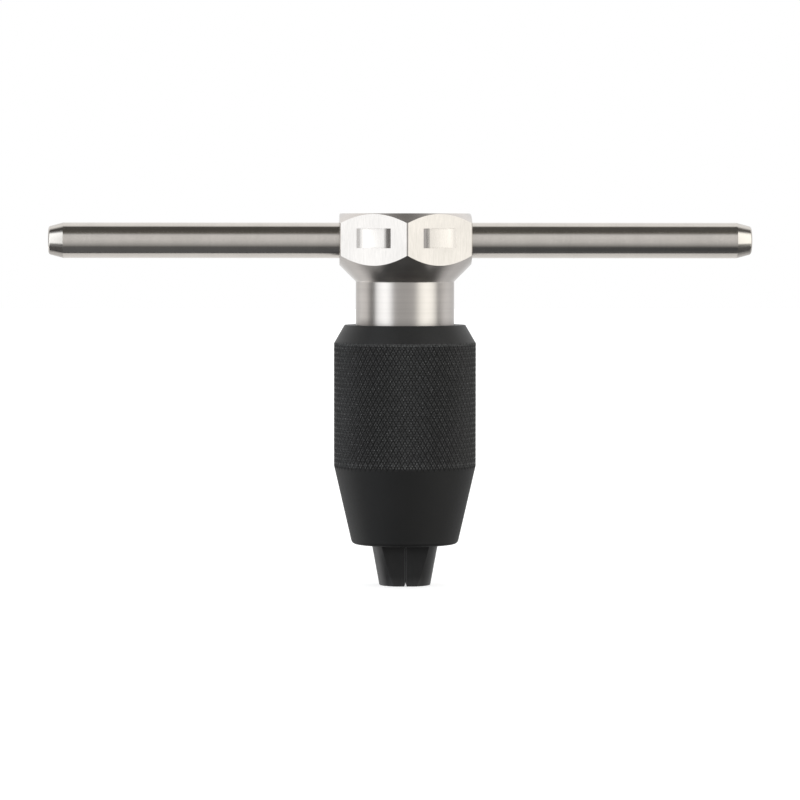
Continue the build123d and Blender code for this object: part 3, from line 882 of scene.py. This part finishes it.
def studio_world(stage):
    """A studio set by direction, with its light by azimuth from LIGHT_ROUND, and white for the camera.

    Front and back meet at the tool's sides, sharply at its height and softly overhead.
    """
    world = bpy.data.worlds.new("studio_world")
    world.use_nodes = True
    graph = Graph(world.node_tree)
    x, y, z = graph.split(graph.node("ShaderNodeTexCoord").outputs["Generated"])
    to_degrees = 180 / math.pi
    azimuth = graph.product(graph.math("ARCTAN2", x, graph.product(y, -1.0)), to_degrees)
    elevation = graph.product(graph.math("ARCSINE", z), to_degrees)
    tints = {"L": stage.left_box[:3], "R": stage.right_box[:3], "-": (1.0, 1.0, 1.0)}
    stops = [
        (0.5 + degrees / 360, *(level * channel for channel in tints[kind]), 0.0 if kind == "-" else 1.0)
        for degrees, level, kind in LIGHT_ROUND
    ]
    light, in_box = graph.ramp(graph.step(azimuth, -180.0, 180.0, kind="LINEAR"), stops)
    overhead = graph.step(z, *OVERHEAD)
    seam = [graph.blend(overhead, level, above) for level, above in zip(SEAM_LEVEL, SEAM_OVERHEAD)]
    behind = graph.step(y, *seam)
    shade = graph.tint(
        behind,
        front_light(graph, x, azimuth, elevation, light, in_box),
        back_light(graph, x, azimuth, elevation, light),
    )
    studio = graph.node("ShaderNodeBackground", {"Color": shade, "Strength": 1.0})
    white = graph.node("ShaderNodeBackground", {"Color": (1.0, 1.0, 1.0, 1.0), "Strength": 1.0})
    path = graph.node("ShaderNodeLightPath")
    mixed = graph.node("ShaderNodeMixShader")
    graph.feed(mixed.inputs[0], path.outputs["Is Camera Ray"])
    graph.feed(mixed.inputs[1], studio.outputs[0])
    graph.feed(mixed.inputs[2], white.outputs[0])
    output = graph.node("ShaderNodeOutputWorld")
    graph.tree.links.new(mixed.outputs[0], output.inputs["Surface"])
    return world


def floor_material(stage):
    """Pale paper that glows a little for the camera, so that it is white where no shadow falls."""
    material = bpy.data.materials.new("paper_floor")
    material.use_nodes = True
    graph = Graph(material.node_tree)
    place = graph.node("ShaderNodeTexCoord").outputs["Object"]
    fibre = graph.noise(place, 300.0)
    tone = graph.tint(fibre, scaled(stage.floor_colour, 0.99), scaled(stage.floor_colour, 1.01))
    paper = graph.node("ShaderNodeBsdfDiffuse", {"Color": tone})
    path = graph.node("ShaderNodeLightPath")
    glow = graph.node(
        "ShaderNodeEmission",
        {"Strength": graph.product(path.outputs["Is Camera Ray"], stage.floor_glow)},
    )
    both = graph.node("ShaderNodeAddShader")
    graph.feed(both.inputs[0], paper.outputs[0])
    graph.feed(both.inputs[1], glow.outputs[0])
    output = graph.node("ShaderNodeOutputMaterial")
    graph.tree.links.new(both.outputs[0], output.inputs["Surface"])
    return material


def stage_floor(stage):
    """A flat square just under height 0, seen by the camera only, which takes the tool's shadow."""
    half, level = stage.floor_half, -0.05 * MM
    corners = np.array([(half * x, half * y, level) for x, y in ((-1, -1), (1, -1), (1, 1), (-1, 1))])
    floor = build_mesh("floor", corners, np.array(((0, 1, 2), (0, 2, 3))), floor_material(stage))
    floor.visible_glossy = False
    floor.visible_diffuse = False
    floor.visible_shadow = False
    return floor


def stage_camera(stage):
    """The camera, level with the head and swung a little to the left, aimed at the middle of the picture."""
    data = bpy.data.cameras.new("camera")
    data.lens = stage.lens
    data.sensor_width = 36.0
    camera = bpy.data.objects.new("camera", data)
    bpy.context.scene.collection.objects.link(camera)
    camera.location = (
        -stage.distance * math.sin(stage.swing),
        -stage.distance * math.cos(stage.swing),
        stage.height,
    )
    aim = Vector((stage.aim_x, 0.0, stage.aim_z)) - camera.location
    camera.rotation_mode = "QUATERNION"
    camera.rotation_quaternion = aim.to_track_quat("-Z", "Y") @ Quaternion((0.0, 0.0, 1.0), stage.roll)
    return camera


# Operators

def dress(material, *nodes):
    """Gives CAD nodes a material."""
    for name in nodes:
        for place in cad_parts[name].material_slots:
            place.material = material


class COLLET_OT_sleeve(bpy.types.Operator):
    """Makes the knurled sleeve"""
    bl_idname = "collet.sleeve"
    bl_label = "Knurled sleeve"

    def execute(self, context):
        sizes, finish = context.scene.collet_sleeve, context.scene.collet_finishes
        piece = knurled_sleeve(sizes, black_oxide(finish, sizes))
        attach(piece, "sleeve")
        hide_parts("closing_sleeve")
        return {"FINISHED"}


class COLLET_OT_bar(bpy.types.Operator):
    """Makes the T-bar"""
    bl_idname = "collet.bar"
    bl_label = "T-bar"

    def execute(self, context):
        sizes = context.scene.collet_bar
        piece = turned_bar(sizes, ground_bar_steel(context.scene.collet_finishes, sizes))
        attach(piece, "bar")
        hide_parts("t_bar")
        return {"FINISHED"}


class COLLET_OT_body(bpy.types.Operator):
    """Finishes the hexagon head, the neck and the nose"""
    bl_idname = "collet.body"
    bl_label = "Collet body"

    def execute(self, context):
        dress(turned_steel(context.scene.collet_finishes, context.scene.collet_head), "collet_body")
        return {"FINISHED"}


class COLLET_OT_jaws(bpy.types.Operator):
    """Finishes the two jaws"""
    bl_idname = "collet.jaws"
    bl_label = "Jaws"

    def execute(self, context):
        material = black_jaw(context.scene.collet_finishes, context.scene.collet_sleeve)
        dress(material, "jaw_left", "jaw_right")
        return {"FINISHED"}


class COLLET_OT_inside(bpy.types.Operator):
    """Finishes the pins, springs, ball, plug and drag ring"""
    bl_idname = "collet.inside"
    bl_label = "Pieces inside"

    def execute(self, context):
        finish = context.scene.collet_finishes
        dress(
            small_metal("hardened_steel", finish.hardened, 0.2, 1800.0),
            "jaw_pin_upper", "jaw_pin_lower", "bar_ball", "spring_plug",
        )
        dress(
            small_metal("spring_wire", finish.spring, 0.28, 2600.0),
            "jaw_spring_upper", "jaw_spring_lower", "bar_spring",
        )
        dress(ring_rubber(finish), "sleeve_drag_ring")
        return {"FINISHED"}


class COLLET_OT_stage(bpy.types.Operator):
    """Makes the floor, the studio light and the camera"""
    bl_idname = "collet.stage"
    bl_label = "Stage"

    def execute(self, context):
        stage = context.scene.collet_stage
        stage_floor(stage)
        context.scene.world = studio_world(stage)
        context.scene.camera = stage_camera(stage)
        context.scene.view_settings.view_transform = "Standard"
        return {"FINISHED"}


PIECE_OPERATORS = (
    COLLET_OT_body,
    COLLET_OT_bar,
    COLLET_OT_sleeve,
    COLLET_OT_jaws,
    COLLET_OT_inside,
    COLLET_OT_stage,
)
SETTINGS = {
    "collet_head": HeadSizes,
    "collet_sleeve": SleeveSizes,
    "collet_bar": BarSizes,
    "collet_finishes": Finishes,
    "collet_stage": StageSettings,
}


class COLLET_PT_panel(bpy.types.Panel):
    """Lists the collet's operators and settings"""
    bl_idname = "COLLET_PT_panel"
    bl_label = "Tapping collet"
    bl_space_type = "VIEW_3D"
    bl_region_type = "UI"
    bl_category = "Collet"

    def draw(self, context):
        for operator in PIECE_OPERATORS:
            self.layout.operator(operator.bl_idname)
        for name, group in SETTINGS.items():
            box = self.layout.box()
            box.label(text=group.__doc__)
            for item in group.__annotations__:
                box.prop(getattr(context.scene, name), item)


CLASSES = (*SETTINGS.values(), *PIECE_OPERATORS, COLLET_PT_panel)


def register():
    """Registers the classes and hangs the settings on the scene."""
    for entry in CLASSES:
        bpy.utils.register_class(entry)
    for name, group in SETTINGS.items():
        setattr(bpy.types.Scene, name, bpy.props.PointerProperty(type=group))


def unregister():
    """Takes the settings and the classes away again."""
    for name in SETTINGS:
        delattr(bpy.types.Scene, name)
    for entry in reversed(CLASSES):
        bpy.utils.unregister_class(entry)


def main():
    """Registers everything and makes it in order."""
    register()
    for operator in PIECE_OPERATORS:
        group, name = operator.bl_idname.split(".")
        getattr(getattr(bpy.ops, group), name)()


if __name__ == "__main__":
    main()
